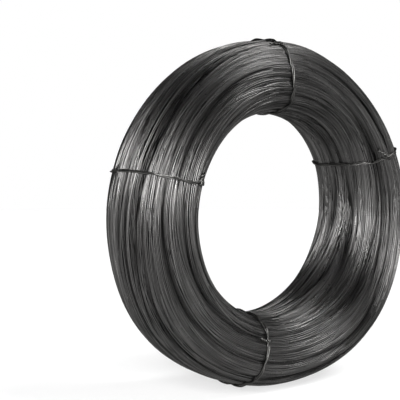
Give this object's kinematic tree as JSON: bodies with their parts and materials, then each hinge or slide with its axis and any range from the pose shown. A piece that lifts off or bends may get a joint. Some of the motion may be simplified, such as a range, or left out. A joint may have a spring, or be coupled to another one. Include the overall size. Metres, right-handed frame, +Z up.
{
  "type": "coil of annealed steel wire",
  "caption": "Round coil of dark annealed steel wire with an open bore, standing on its rim and bound across its turns by doubled wire ties with twisted tails.",
  "frame": {"origin": "on the floor under the middle of the coil's axis, at the bottom centre of its box", "axes": "+Y along the coil's axis, away from the face that the picture shows; +Z up; +X across the coil"},
  "size_m": [0.4499, 0.1361, 0.4519],
  "materials": {
    "annealed_wire": "dark oxide skin of annealed drawn steel wire, satin, broad soft highlights along the turns",
    "tie_wire": "the same annealed wire, a little brighter where it is bent and rubbed"
  },
  "bodies": {
    "root": {"wire_coil": "annealed_wire", "tie_top": "tie_wire", "tie_left": "tie_wire", "tie_bottom": "tie_wire", "tie_right": "tie_wire"}
  },
  "joints": []
}
